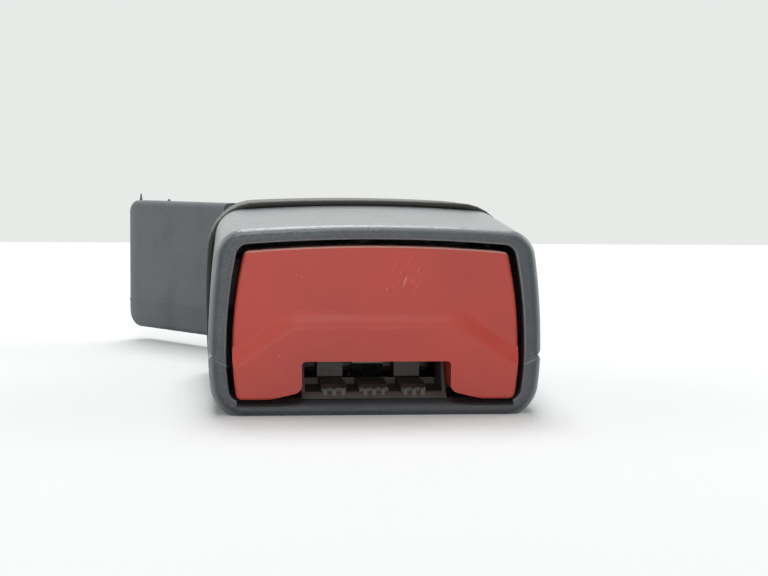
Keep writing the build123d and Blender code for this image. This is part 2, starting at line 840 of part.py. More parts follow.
# ---------------------------------------------------------------- springs
springs = {}
for side_name, side in (("left", -1), ("right", 1)):
    springs[f"button_spring_{side_name}"] = coil_spring(
        across(button_seat_in - slip).move(Location((side * button_spring_x, button_spring_z, 0))),
        button_seat_in - button_face_in - button_skin - 2 * slip,
        button_spring_radius,
        button_wire,
        7,
    )
    springs[f"ejector_spring_{side_name}"] = coil_spring(
        across(seat_in - slip).move(Location((side * ejector_spring_x, ejector_spring_z, 0))),
        seat_in - pocket_in - 2 * slip,
        ejector_spring_radius,
        ejector_wire,
        8,
    )
springs["latch_spring"] = coil_spring(
    Plane.XY.offset(latch_under_z + latch_sheet + slip).move(
        Location((0, face_y + latch_spring_in, 0))
    ),
    latch_seat_z - latch_under_z - latch_sheet - 2 * slip,
    latch_spring_radius,
    latch_wire,
    5,
)

# ---------------------------------------------------------------- stalk
tail_end_x = tail_x * tail_length
tail_end_y = bend_y + tail_y * tail_length
strap_bottom = strap_z - strap_height / 2
strap_top = strap_z + strap_height / 2
neck_end_y = rear_y + 0.6                    # the strap widens once it is out of the head

with BuildPart() as stalk_strap:
    with BuildSketch(Plane.XY.offset(strap_bottom)):
        with BuildLine():
            FilletPolyline(
                (0, rivet_y - eye_radius),
                (0, bend_y),
                (tail_end_x, tail_end_y),
                radius=bend_radius,
            )
        trace(line_width=strap_thickness)
    extrude(amount=strap_height)
    # eye and neck inside the head, full height outside it
    with BuildSketch(Plane.YZ):
        with Locations((rivet_y, strap_z)):
            Circle(eye_radius)
        with BuildLine():
            Polyline(
                (rivet_y, strap_z - eye_radius),
                (neck_end_y, strap_z - eye_radius),
                (neck_end_y + 6, strap_bottom),
                (tail_end_y + 20, strap_bottom),
                (tail_end_y + 20, strap_top),
                (neck_end_y + 6, strap_top),
                (neck_end_y, strap_z + eye_radius),
                (rivet_y, strap_z + eye_radius),
                (rivet_y, strap_z - eye_radius),
            )
        make_face()
        with Locations((rivet_y, strap_z)):
            Circle(rivet_radius + run, mode=Mode.SUBTRACT)
    extrude(amount=2 * tail_length, both=True, mode=Mode.INTERSECT)
    # rounded corners at the tail and the anchor bolt's hole
    far_end = stalk_strap.edges().filter_by(
        lambda e: e.length < strap_thickness + 0.01 and e.center().Y > tail_end_y - strap_thickness
    )
    fillet(far_end.filter_by(Plane.XY), tail_corner)
    with BuildSketch(
        Plane(
            origin=(tail_x * bolt_hole_at, bend_y + tail_y * bolt_hole_at, strap_z),
            z_dir=(tail_y, -tail_x, 0),
        )
    ):
        Circle(bolt_hole_radius)
    extrude(amount=2 * strap_thickness, both=True, mode=Mode.SUBTRACT)

# rivet through the frame and the strap's eye, with a flat head at each end
washer_sheet = 1.0
rivet_head = 2.0
head_at = frame_outer_half + washer_sheet + 2 * run

with BuildPart() as cross_rivet:
    with BuildSketch(Plane.YZ):
        with Locations((rivet_y, strap_z)):
            Circle(rivet_radius)
    extrude(amount=head_at + rivet_head / 2, both=True)
    for start, direction in ((head_at, 1), (-head_at, -1)):
        with BuildSketch(Plane.YZ.offset(start)):
            with Locations((rivet_y, strap_z)):
                Circle(rivet_radius + 2)
        extrude(amount=direction * rivet_head)
    ends = cross_rivet.faces().filter_by(Plane.YZ)
    chamfer([ends.sort_by(Axis.X)[0].edges(), ends.sort_by(Axis.X)[-1].edges()], 0.8)

with BuildPart() as rivet_washers:
    for start in (frame_outer_half + run, -frame_outer_half - run - washer_sheet):
        with BuildSketch(Plane.YZ.offset(start)):
            with Locations((rivet_y, strap_z)):
                Circle(rivet_radius + 2.5)
                Circle(rivet_radius + run, mode=Mode.SUBTRACT)
        extrude(amount=washer_sheet)

spacer_length = frame_inner_half - strap_thickness / 2 - 2 * run
spacers = {}
for name, start in (
    ("rivet_spacer_left", -frame_inner_half + run),
    ("rivet_spacer_right", strap_thickness / 2 + run),
):
    with BuildPart() as spacer:
        with BuildSketch(Plane.YZ.offset(start)):
            with Locations((rivet_y, strap_z)):
                Circle(rivet_radius + 2)
                Circle(rivet_radius + run, mode=Mode.SUBTRACT)
        extrude(amount=spacer_length)
    spacers[name] = spacer

# dipped skin over the stalk's tail, closed at its far end
sheath_half = strap_thickness / 2 + sheath_side_wall
sheath_height = strap_height + 2 * sheath_wall
sheath_end_at = tail_length + sheath_wall

with BuildPart() as strap_sheath:
    with BuildSketch(across_tail(sheath_start_at)):
        with Locations((0, strap_z)):
            Rectangle(2 * sheath_half, sheath_height)
    extrude(amount=sheath_start_at - sheath_end_at)
    far_corners = strap_sheath.faces().sort_by(Axis.Y)[-1].edges().filter_by(Plane.XY)
    fillet(far_corners, sheath_corner)
    broad = strap_sheath.faces().sort_by(SortBy.AREA)[-2:]
    mouth_y = strap_sheath.faces().sort_by(Axis.Y)[0].center().Y
    rims = broad.edges().filter_by(lambda e: e.center().Y > mouth_y + 2 * sheath_half)
    fillet(rims, sheath_edge)
    with BuildSketch(across_tail(sheath_start_at - 1)):
        with Locations((0, strap_z)):
            Rectangle(strap_thickness + 2 * run, strap_height + 2 * run)
    extrude(amount=sheath_start_at - 1 - tail_length - run, mode=Mode.SUBTRACT)

# ---------------------------------------------------------------- boot
boot_shoulder_in = head_length + boot_behind_head
neck_cover = neck_step - soft_gap

with BuildPart() as boot:
    with BuildSketch(across(neck_in + soft_gap)):
        add(boot_outline(0))
    extrude(amount=neck_in + soft_gap - boot_shoulder_in)
    for share in (0, 0.35, 0.7, 1):
        with BuildSketch(boot_plane(share)):
            add(boot_outline(share))
    loft()
    with BuildSketch(across(neck_in - 1)):
        add(casing_outline(top_height(neck_in), inset=neck_cover))
    extrude(amount=neck_in - 1 - boot_shoulder_in, mode=Mode.SUBTRACT)
    for share in (0, 0.35, 0.7, 1):
        with BuildSketch(boot_plane(share)):
            add(boot_outline(share, inset=boot_wall))
    loft(mode=Mode.SUBTRACT)

pieces = {
    "upper_cover": upper_cover,
    "lower_cover": lower_cover,
    "press_button": press_button,
    "tongue_guide": tongue_guide,
    "frame": frame,
    "latch": latch,
    "latch_pivot_pin": latch_pivot_pin,
    "latch_pin_clip": latch_pin_clip,
    "ejector": ejector,
    "spring_seat": spring_seat,
    "stalk_strap": stalk_strap,
    "cross_rivet": cross_rivet,
    "rivet_washers": rivet_washers,
    "strap_sheath": strap_sheath,
    "boot": boot,
}
for name, piece in (pieces | springs | spacers).items():
    piece.part.label = name
    export_step(piece.part, f"parts/{name}.step")
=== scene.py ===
from math import cos, hypot, pi, radians, sin

import bmesh
import bpy
from mathutils import Matrix, Vector


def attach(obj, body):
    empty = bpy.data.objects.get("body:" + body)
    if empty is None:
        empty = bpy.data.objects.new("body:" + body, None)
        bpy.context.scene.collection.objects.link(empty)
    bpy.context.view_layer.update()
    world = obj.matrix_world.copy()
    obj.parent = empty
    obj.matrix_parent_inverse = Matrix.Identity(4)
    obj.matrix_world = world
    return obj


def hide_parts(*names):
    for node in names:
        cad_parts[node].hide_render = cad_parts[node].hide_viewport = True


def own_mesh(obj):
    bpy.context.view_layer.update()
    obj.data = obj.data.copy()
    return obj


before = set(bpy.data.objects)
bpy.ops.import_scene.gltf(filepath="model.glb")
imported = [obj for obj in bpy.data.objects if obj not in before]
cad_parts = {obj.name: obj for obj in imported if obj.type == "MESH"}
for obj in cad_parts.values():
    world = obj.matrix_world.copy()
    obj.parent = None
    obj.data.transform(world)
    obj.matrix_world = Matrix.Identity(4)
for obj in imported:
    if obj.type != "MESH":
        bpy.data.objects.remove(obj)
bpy.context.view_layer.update()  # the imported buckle, each node in its place
mm = 0.001
print("buckle loaded:", len(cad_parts), "nodes")

# low in front of the mouth and a little to the left, in millimetres and degrees
viewpoint = dict(place=(-28.19, -304.59, 43.55), turn=6.083, tilt=4.261, roll=0.507, lens=73.0,
                 sensor=36, nearClip=10)


def placeCamera():
    bpy.ops.object.camera_add(location=[value * mm for value in viewpoint["place"]])
    camera = bpy.context.object
    camera.name = "viewCamera"
    aim = Matrix.Rotation(radians(-viewpoint["turn"]), 4, "Z")
    aim = aim @ Matrix.Rotation(radians(90 - viewpoint["tilt"]), 4, "X")
    aim = aim @ Matrix.Rotation(radians(viewpoint["roll"]), 4, "Z")
    camera.rotation_euler = aim.to_euler()
    camera.data.lens = viewpoint["lens"]
    camera.data.sensor_width = viewpoint["sensor"]
    camera.data.clip_start = viewpoint["nearClip"] * mm
    camera.data.dof.use_dof = False
    bpy.context.scene.camera = camera


placeCamera()
print("camera placed")


def deselectAll():
    bpy.ops.object.select_all(action="DESELECT")


def selectOnly(piece):
    deselectAll()
    bpy.context.view_layer.objects.active = piece
    piece.select_set(True)


def openEdit(piece, mode="FACE"):
    selectOnly(piece)
    bpy.ops.object.mode_set(mode="EDIT")
    bpy.ops.mesh.select_mode(type=mode)
    bpy.ops.mesh.select_all(action="DESELECT")


def closeEdit():
    bpy.ops.object.mode_set(mode="OBJECT")


def pick(kind, test):  # selects the faces, edges or verts that pass the test
    work = bmesh.from_edit_mesh(bpy.context.object.data)
    bpy.ops.mesh.select_all(action="DESELECT")
    for item in getattr(work, kind):
        if test(item):
            item.select_set(True)
    work.select_flush_mode()
    bmesh.update_edit_mesh(bpy.context.object.data)


def shapeVerts(move):  # puts every selected vertex where move says
    work = bmesh.from_edit_mesh(bpy.context.object.data)
    for vert in work.verts:
        if vert.select:
            vert.co = move(vert.co)
    bmesh.update_edit_mesh(bpy.context.object.data)


def settle(piece, name):  # the place goes into the mesh, and the object stays at the origin
    selectOnly(piece)
    bpy.ops.object.transform_apply(location=True, rotation=True, scale=True)
    piece.name = name
    piece.data.name = name


def addModifier(piece, kind, **settings):
    modifier = piece.modifiers.new(kind.title(), kind)
    for key, value in settings.items():
        setattr(modifier, key, value)
    bpy.context.view_layer.objects.active = piece
    bpy.ops.object.modifier_apply(modifier=modifier.name)


def faceOutwards(piece):  # doubles are merged first, so that neighbouring faces can agree
    openEdit(piece, "VERT")
    bpy.ops.mesh.select_all(action="SELECT")
    bpy.ops.mesh.remove_doubles(threshold=0.002 * mm)
    bpy.ops.mesh.normals_make_consistent(inside=False)
    closeEdit()


def smoothShade(piece, angle):  # edges sharper than the angle stay crisp
    selectOnly(piece)
    bpy.ops.object.shade_smooth_by_angle(angle=radians(angle))


def linearColour(hexCode):  # sRGB hex to the linear colour that shaders take
    values = [int(hexCode[i : i + 2], 16) / 255 for i in (1, 3, 5)]
    return [v / 12.92 if v <= 0.04045 else ((v + 0.055) / 1.055) ** 2.4 for v in values] + [1]


def wireUp(tree, node, inputs):  # each input is a value, or a node and its output
    for key, value in inputs.items():
        if isinstance(value, tuple) and isinstance(value[0], bpy.types.Node):
            tree.links.new(value[0].outputs[value[1]], node.inputs[key])
        else:
            node.inputs[key].default_value = value


def addNode(tree, kind, inputs=None, stops=(), **settings):
    node = tree.nodes.new("ShaderNode" + kind)
    for key, value in settings.items():
        setattr(node, key, value)
    for number, (position, colour) in enumerate(stops):
        node.color_ramp.elements[number].position = position
        node.color_ramp.elements[number].color = linearColour(colour)
    wireUp(tree, node, inputs or {})
    return node


def newFinish(name, colour, **sockets):  # with the piece's own coordinates in millimetres
    material = bpy.data.materials.new(name)
    material.use_nodes = True
    tree = material.node_tree
    shader = tree.nodes["Principled BSDF"]
    shader.inputs["Base Color"].default_value = linearColour(colour)
    for key, value in sockets.items():
        shader.inputs[key.replace("_", " ")].default_value = value
    place = addNode(tree, "TexCoord")
    inMm = addNode(tree, "Mapping", {"Vector": (place, "Object"), "Scale": (1000, 1000, 1000)})
    return material, tree, shader, (inMm, "Vector")


# ABS moulded in a spark-eroded tool: slate grey, a pebbly grain that glints where it turns to the
# light, a front rim rubbed paler in patches, and a painted highlight, palest of all, on its
# rounding
coverLook = dict(dark="#3B3F43", light="#45494D", paleEdge="#7C8083", rough=(0.27, 0.38),
                 pebble=0.36, pebbleDepth=0.034, dust=1.3, cloud=0.08, rimAt=-28.3, rimFade=0.6,
                 faceRub=0.2, edgeHighlight=0.8, edgeFrom=1.4, edgeTo=0.2)


def makeCoverAbs():
    look = coverLook
    material, tree, shader, inMm = newFinish("grainedCoverAbs", look["dark"], IOR=1.53)
    pebble = addNode(tree, "TexVoronoi", {"Vector": inMm, "Scale": 1 / look["pebble"]})
    dust = addNode(tree, "TexNoise", {"Vector": inMm, "Scale": look["dust"], "Detail": 6.0,
                                      "Roughness": 0.7})
    cloud = addNode(tree, "TexNoise", {"Vector": inMm, "Scale": look["cloud"], "Detail": 4.0})
    shade = addNode(tree, "ValToRGB", {"Fac": (cloud, "Fac")},
                    stops=((0.35, look["dark"]), (0.65, look["light"])))
    axes = addNode(tree, "SeparateXYZ", {"Vector": inMm})
    atRim = addNode(tree, "MapRange", {"Value": (axes, "Y"),
                                       "From Min": look["rimAt"] + look["rimFade"],
                                       "From Max": look["rimAt"] - look["rimFade"]})
    worn = addNode(tree, "MapRange", {"Value": (dust, "Fac"), "From Min": 0.5, "From Max": 0.7,
                                      "To Max": look["faceRub"]})
    rimPaler = addNode(tree, "Math", {0: (atRim, "Result"), 1: (worn, "Result")}, operation="MULTIPLY")
    # painted highlight: the rounding between the rim's flat front and the sides is painted palest
    surface = addNode(tree, "NewGeometry")
    facing = addNode(tree, "SeparateXYZ", {"Vector": (surface, "Normal")})
    rounded = addNode(tree, "MapRange", {"Value": (facing, "Y"), "From Min": -0.96,
                                         "From Max": -0.7, "To Max": look["edgeHighlight"]})
    nearRim = addNode(tree, "MapRange", {"Value": (axes, "Y"),
                                         "From Min": look["rimAt"] + look["edgeFrom"],
                                         "From Max": look["rimAt"] - look["edgeTo"]})
    edge = addNode(tree, "Math", {0: (rounded, "Result"), 1: (nearRim, "Result")},
                   operation="MULTIPLY")
    rimPaler = addNode(tree, "Math", {0: (rimPaler, "Value"), 1: (edge, "Value")}, operation="MAXIMUM")
    # the pale tone goes on the rubbed patches and, strongest, on the painted highlight along the
    # rounding
    colour = addNode(tree, "Mix", {0: (rimPaler, "Value"), 6: (shade, "Color"),
                                   7: linearColour(look["paleEdge"])}, data_type="RGBA")
    rough = addNode(tree, "MapRange", {"Value": (dust, "Fac"), "From Min": 0.3, "From Max": 0.7,
                                       "To Min": look["rough"][0], "To Max": look["rough"][1]})
    relief = addNode(tree, "Bump", {"Height": (pebble, "Distance"), "Strength": 1.0,
                                    "Distance": look["pebbleDepth"] * mm})
    wireUp(tree, shader, {"Base Color": (colour, 2), "Roughness": (rough, "Result"),
                          "Normal": (relief, "Normal")})
    return material


# ABS coloured through and moulded in a smoother tool: satin red with a fine grain, a painted
# highlight along the upper edge, a patch of pale handling scratches and a few specks of dust
buttonLook = dict(dark="#B2372A", light="#BE4134", scratchAndHighlight="#E0A79C", rough=(0.36, 0.5), grain=0.3,
                  grainDepth=0.006, cloud=0.06, scratchAt=(5.3, 0, 25.2), scratchReach=3.6,
                  scratchCore=0.6, scratchLean=62, highlightFrom=22, highlightFade=2, specks=0.22,
                  markStrength=0.45)


def makeButtonAbs():
    look = buttonLook
    material, tree, shader, inMm = newFinish("satinRedAbs", look["dark"], IOR=1.53)
    grain = addNode(tree, "TexNoise", {"Vector": inMm, "Scale": 1 / look["grain"], "Detail": 2.0})
    cloud = addNode(tree, "TexNoise", {"Vector": inMm, "Scale": look["cloud"], "Detail": 5.0})
    shade = addNode(tree, "ValToRGB", {"Fac": (cloud, "Fac")},
                    stops=((0.35, look["dark"]), (0.65, look["light"])))
    # scratches run steeply across one patch, about 0.15 mm wide
    fromPatch = addNode(tree, "VectorMath", {0: inMm, 1: look["scratchAt"]}, operation="SUBTRACT")
    flat = addNode(tree, "VectorMath", {0: (fromPatch, "Vector"), 1: (1, 0, 1)},
                   operation="MULTIPLY")
    reach = addNode(tree, "VectorMath", {0: (flat, "Vector")}, operation="LENGTH")
    patch = addNode(tree, "MapRange", {"Value": (reach, "Value"), "From Min": look["scratchReach"],
                                       "From Max": look["scratchCore"]})
    lean = addNode(tree, "Mapping", {"Vector": (flat, "Vector"),
                                     "Rotation": (0, radians(look["scratchLean"]), 0)})
    along = addNode(tree, "VectorMath", {0: (lean, "Vector"), 1: (0.35, 1, 3.2)},
                    operation="MULTIPLY")
    strokes = addNode(tree, "TexNoise", {"Vector": (along, "Vector"), "Scale": 1.0, "Detail": 1.0})
    lines = addNode(tree, "MapRange", {"Value": (strokes, "Fac"), "From Min": 0.6,
                                       "From Max": 0.68})
    scratches = addNode(tree, "Math", {0: (lines, "Result"), 1: (patch, "Result")},
                        operation="MULTIPLY")
    # painted highlight: the upper edge is painted paler where it turns up towards the light
    surface = addNode(tree, "NewGeometry")
    facing = addNode(tree, "SeparateXYZ", {"Vector": (surface, "Normal")})
    upTurned = addNode(tree, "MapRange", {"Value": (facing, "Z"), "From Min": 0.4, "From Max": 0.7})
    height = addNode(tree, "SeparateXYZ", {"Vector": inMm})
    nearTop = addNode(tree, "MapRange", {"Value": (height, "Z"), "From Min": look["highlightFrom"],
                                         "From Max": look["highlightFrom"] + look["highlightFade"]})
    paleEdge = addNode(tree, "Math", {0: (upTurned, "Result"), 1: (nearTop, "Result")},
                     operation="MULTIPLY")
    # dust specks, one every few millimetres
    specks = addNode(tree, "TexVoronoi", {"Vector": inMm, "Scale": look["specks"],
                                          "Randomness": 1.0})
    dust = addNode(tree, "MapRange", {"Value": (specks, "Distance"), "From Min": 0.045,
                                      "From Max": 0.02, "To Max": 0.7})
    marks = addNode(tree, "Math", {0: (scratches, "Value"), 1: (dust, "Result")},
                    operation="MAXIMUM")
    faint = addNode(tree, "Math", {0: (marks, "Value"), 1: look["markStrength"]},
                    operation="MULTIPLY")
    paler = addNode(tree, "Math", {0: (faint, "Value"), 1: (paleEdge, "Value")},
                    operation="MAXIMUM")
    # the scratches, the dust specks and the painted highlight share one pale colour
    colour = addNode(tree, "Mix", {0: (paler, "Value"), 6: (shade, "Color"),
                                   7: linearColour(look["scratchAndHighlight"])}, data_type="RGBA")
    rough = addNode(tree, "MapRange", {"Value": (cloud, "Fac"), "From Min": 0.3, "From Max": 0.7,
                                       "To Min": look["rough"][0], "To Max": look["rough"][1]})
    relief = addNode(tree, "Bump", {"Height": (grain, "Fac"), "Strength": 1.0,
                                    "Distance": look["grainDepth"] * mm})
    wireUp(tree, shader, {"Base Color": (colour, 2), "Roughness": (rough, "Result"),
                          "Normal": (relief, "Normal")})
    return material


# Glass-filled nylon, moulded: dull brownish grey, its gloss broken up by the fibres under the skin
throatLook = dict(dark="#4F4A47", light="#5F5956", rough=(0.45, 0.62), cloud=0.5, fibre=0.5,
                  fibreDepth=0.015)


def makeThroatNylon():
    look = throatLook
    material, tree, shader, inMm = newFinish("glassFilledNylon", look["dark"], IOR=1.53)
    cloud = addNode(tree, "TexNoise", {"Vector": inMm, "Scale": look["cloud"], "Detail": 4.0})
    fibre = addNode(tree, "TexNoise", {"Vector": inMm, "Scale": 1 / look["fibre"], "Detail": 3.0,
                                       "Distortion": 1.5})
    shade = addNode(tree, "ValToRGB", {"Fac": (cloud, "Fac")},
                    stops=((0.3, look["dark"]), (0.7, look["light"])))
    rough = addNode(tree, "MapRange", {"Value": (fibre, "Fac"), "From Min": 0.3, "From Max": 0.7,
                                       "To Min": look["rough"][0], "To Max": look["rough"][1]})
    relief = addNode(tree, "Bump", {"Height": (fibre, "Fac"), "Strength": 1.0,
                                    "Distance": look["fibreDepth"] * mm})
    wireUp(tree, shader, {"Base Color": (shade, "Color"), "Roughness": (rough, "Result"),
                          "Normal": (relief, "Normal")})
    return material


# Acetal, moulded: warm dark grey, slippery and faintly waxy, with rubbed streaks along its travel
sliderLook = dict(dark="#524A47", light="#625955", rough=(0.3, 0.44), streaks=(1.6, 0.12, 1.6),
                  streakDepth=0.01)


def makeSliderAcetal():
    look = sliderLook
    material, tree, shader, inMm = newFinish("waxyAcetal", look["dark"], IOR=1.48)
    alongTravel = addNode(tree, "Mapping", {"Vector": inMm, "Scale": look["streaks"]})
    streaks = addNode(tree, "TexNoise", {"Vector": (alongTravel, "Vector"), "Scale": 1.0,
                                         "Detail": 4.0})
    shade = addNode(tree, "ValToRGB", {"Fac": (streaks, "Fac")},
                    stops=((0.3, look["dark"]), (0.7, look["light"])))
    rough = addNode(tree, "MapRange", {"Value": (streaks, "Fac"), "From Min": 0.3, "From Max": 0.7,
                                       "To Min": look["rough"][0], "To Max": look["rough"][1]})
    relief = addNode(tree, "Bump", {"Height": (streaks, "Fac"), "Strength": 1.0,
                                    "Distance": look["streakDepth"] * mm})
    wireUp(tree, shader, {"Base Color": (shade, "Color"), "Roughness": (rough, "Result"),
                          "Normal": (relief, "Normal")})
    return material


# sheet, bar and wire: the streaks lie along the way it was rolled, turned or drawn
steelStreakDepth = 0.01
steelLooks = dict(
    # zinc phosphate over pressed sheet: dull warm grey, cloudy, hardly mirrors
    phosphatedFrameSteel=dict(dark="#4A4844", light="#5C5A56", rough=(0.48, 0.62),
                              streaks=(1.4, 0.12, 1.4)),
    # quenched and tempered sheet: brown-black scale, smoother where it rubs
    hardenedLatchSteel=dict(dark="#5E5A57", light="#787470", rough=(0.34, 0.5),
                            streaks=(1.2, 0.2, 1.2)),
    # bright zinc over turned bar: pale grey with rings left by the tool
    turnedPinSteel=dict(dark="#A0A1A3", light="#B9BABC", rough=(0.24, 0.36),
                        streaks=(2.5, 0.3, 0.3)),
    # drawn spring wire: smooth grey with an oily sheen
    drawnSpringWire=dict(dark="#7D7D80", light="#9A9A9C", rough=(0.25, 0.35),
                         streaks=(0.6, 0.6, 0.6)),
    # e-coated strap: even black paint over steel, where only the coat is seen
    coatedStalkSteel=dict(dark="#2A2C2E", light="#35383A", rough=(0.34, 0.46),
                          streaks=(0.5, 0.5, 0.5)),
)


def makeSteel(name):
    look = steelLooks[name]
    if name == "coatedStalkSteel":  # the paint is what shows, so it isn't metallic
        material, tree, shader, inMm = newFinish(name, look["dark"], IOR=1.55)
    else:
        material, tree, shader, inMm = newFinish(name, look["dark"], Metallic=1.0)
    stretched = addNode(tree, "Mapping", {"Vector": inMm, "Scale": look["streaks"]})
    streaks = addNode(tree, "TexNoise", {"Vector": (stretched, "Vector"), "Scale": 1.0,
                                         "Detail": 6.0})
    shade = addNode(tree, "ValToRGB", {"Fac": (streaks, "Fac")},
                    stops=((0.35, look["dark"]), (0.65, look["light"])))
    rough = addNode(tree, "MapRange", {"Value": (streaks, "Fac"), "From Min": 0.3, "From Max": 0.7,
                                       "To Min": look["rough"][0], "To Max": look["rough"][1]})
    relief = addNode(tree, "Bump", {"Height": (streaks, "Fac"), "Strength": 1.0,
                                    "Distance": steelStreakDepth * mm})
    wireUp(tree, shader, {"Base Color": (shade, "Color"), "Roughness": (rough, "Result"),
                          "Normal": (relief, "Normal")})
    return material


# the painted end tone (painted shade on the boot, a painted highlight on the sheath) fades in from
# near to far, along the piece, on faces that turn that way
vinylLooks = dict(
    # plasticised PVC, moulded: dark olive grey and rubbery, with a fine leathery grain
    softBootVinyl=dict(dark="#34362F", light="#40423B", rough=(0.6, 0.74), grain=0.5,
                       grainDepth=0.02, cloud=0.07, bloom=1.8, paintedEndTone="#262824",
                       along=(0, -1, 0), near=-8.6, far=-8.0, facing=0.8),
    # PVC skin dipped on: mid grey and matt, with a slow unevenness from the dip and a dusty bloom
    dippedSheathVinyl=dict(dark="#44484B", light="#54585B", rough=(0.58, 0.72), grain=0.8,
                           grainDepth=0.014, cloud=0.09, bloom=1.8, paintedEndTone="#6A6E6E",
                           along=(-0.595, 0.804, 0), near=107.0, far=111.0, facing=-2.0),
)


def makeVinyl(name):
    look = vinylLooks[name]
    material, tree, shader, inMm = newFinish(name, look["dark"], IOR=1.52)
    grain = addNode(tree, "TexNoise", {"Vector": inMm, "Scale": 1 / look["grain"], "Detail": 3.0})
    cloud = addNode(tree, "TexNoise", {"Vector": inMm, "Scale": look["cloud"], "Detail": 4.0})
    bloom = addNode(tree, "TexNoise", {"Vector": inMm, "Scale": look["bloom"], "Detail": 5.0})
    both = addNode(tree, "Math", {0: (cloud, "Fac"), 1: (bloom, "Fac")}, operation="ADD")
    shade = addNode(tree, "ValToRGB", {"Fac": (both, "Value")},
                    stops=((0.75, look["dark"]), (1.0, look["light"])))
    rough = addNode(tree, "MapRange", {"Value": (bloom, "Fac"), "From Min": 0.3, "From Max": 0.7,
                                       "To Min": look["rough"][0], "To Max": look["rough"][1]})
    relief = addNode(tree, "Bump", {"Height": (grain, "Fac"), "Strength": 1.0,
                                    "Distance": look["grainDepth"] * mm})
    # one end is painted: painted shade round the boot's mouth, a painted highlight on the sheath's
    # tip
    reach = addNode(tree, "VectorMath", {0: inMm, 1: look["along"]}, operation="DOT_PRODUCT")
    atEnd = addNode(tree, "MapRange", {"Value": (reach, "Value"), "From Min": look["near"],
                                       "From Max": look["far"]})
    surface = addNode(tree, "NewGeometry")
    turned = addNode(tree, "VectorMath", {0: (surface, "Normal"), 1: look["along"]},
                     operation="DOT_PRODUCT")
    endOn = addNode(tree, "MapRange", {"Value": (turned, "Value"), "From Min": look["facing"] - 0.1,
                                       "From Max": look["facing"] + 0.1})
    paintedEnd = addNode(tree, "Math", {0: (atEnd, "Result"), 1: (endOn, "Result")},
                     operation="MULTIPLY")
    colour = addNode(tree, "Mix", {0: (paintedEnd, "Value"), 6: (shade, "Color"),
                                   7: linearColour(look["paintedEndTone"])}, data_type="RGBA")
    wireUp(tree, shader, {"Base Color": (colour, 2), "Roughness": (rough, "Result"),
                          "Normal": (relief, "Normal")})
    return material


coverAbs = makeCoverAbs()
buttonAbs = makeButtonAbs()
throatNylon = makeThroatNylon()
sliderAcetal = makeSliderAcetal()
frameSteel = makeSteel("phosphatedFrameSteel")
latchSteel = makeSteel("hardenedLatchSteel")
pinSteel = makeSteel("turnedPinSteel")
springSteel = makeSteel("drawnSpringWire")
stalkSteel = makeSteel("coatedStalkSteel")
bootVinyl = makeVinyl("softBootVinyl")
sheathVinyl = makeVinyl("dippedSheathVinyl")

finishes = dict(
    upper_cover=coverAbs, lower_cover=coverAbs, press_button=buttonAbs, tongue_guide=throatNylon,
    spring_seat=throatNylon, ejector=sliderAcetal, frame=frameSteel, stalk_strap=stalkSteel,
    latch=latchSteel, latch_pivot_pin=pinSteel, latch_pin_clip=springSteel, cross_rivet=pinSteel,
    rivet_washers=pinSteel, rivet_spacer_left=pinSteel, rivet_spacer_right=pinSteel,
    boot=bootVinyl, strap_sheath=sheathVinyl, button_spring_left=springSteel,
    button_spring_right=springSteel, ejector_spring_left=springSteel,
    ejector_spring_right=springSteel, latch_spring=springSteel,
)
for name, finish in finishes.items():
    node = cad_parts[name]
    node.data.materials.clear()
    node.data.materials.append(finish)
print("finishes made:", len(set(finishes.values())))

# soft boot: a sleeve over the head's neck that closes in on the stalk, in millimetres
boot = dict(mouthY=7.7, shoulderY=32.0, bendY=36.0, endAt=13.0, turn=36.5, half=30.7, top=37.9,
            endHalf=4.9, endLow=3.5, endTop=35.7, drawIn=1.0, crown=1.2, endCrown=0.3, wall=1.25,
            footCorner=5.8, topCorner=8.5, endCorner=2.4, lip=0.45, crease=0.35, creaseFrom=0.1,
            creaseHalf=30, strapY=40, around=96, cornerSteps=8, collarSteps=8, neckSteps=14)


def bootRing(share, count):  # one section of the boot, as x across and z up
    ease = share * share * (3 - 2 * share)
    half = boot["half"] + (boot["endHalf"] - boot["half"]) * ease
    low = boot["endLow"] * ease
    crown = boot["crown"] * (1 - ease) + boot["endCrown"] * ease
    top = boot["top"] + (boot["endTop"] - boot["top"]) * ease - crown
    drawIn = boot["drawIn"] * (1 - ease)
    foot = boot["footCorner"] + (boot["endCorner"] - boot["footCorner"]) * ease
    head = boot["topCorner"] + (boot["endCorner"] - boot["topCorner"]) * ease
    middle, reach = (low + top) / 2, (top - low) / 2
    corners = ((half - foot, low + foot, foot, -90), (half - head, top - head, head, 0),
               (head - half, top - head, head, 90), (foot - half, low + foot, foot, 180))
    outline, steps = [], boot["cornerSteps"]
    for x, z, radius, start in corners:
        for step in range(steps + 1):
            angle = radians(start + 90 * step / steps)
            outline.append((x + radius * cos(angle), z + radius * sin(angle)))
    outline.append(outline[0])
    # walk round the outline in even steps
    runs = [hypot(b[0] - a[0], b[1] - a[1]) for a, b in zip(outline, outline[1:])]
    total, ring, at, walked = sum(runs), [], 0, 0.0
    for step in range(count):
        target = total * step / count
        while walked + runs[at] < target:
            walked += runs[at]
            at += 1
        part = (target - walked) / runs[at]
        x = outline[at][0] + (outline[at + 1][0] - outline[at][0]) * part
        z = outline[at][1] + (outline[at + 1][1] - outline[at][1]) * part
        x *= 1 - drawIn / half * ((z - middle) / reach) ** 2
        if z > middle:
            z += crown * (z - middle) / reach * (1 - (x / half) ** 2)
        ring.append((x, z))
    return ring


def bootPlace(share):  # middle of a section and how far it is turned
    start, end = boot["shoulderY"], boot["endAt"]
    tail = (-sin(radians(boot["turn"])), cos(radians(boot["turn"])))
    x = share**2 * tail[0] * end
    y = ((1 - share) ** 2 * start + 2 * share * (1 - share) * boot["bendY"]
         + share**2 * (boot["bendY"] + tail[1] * end))
    return x, y, radians(boot["turn"] * share**3)


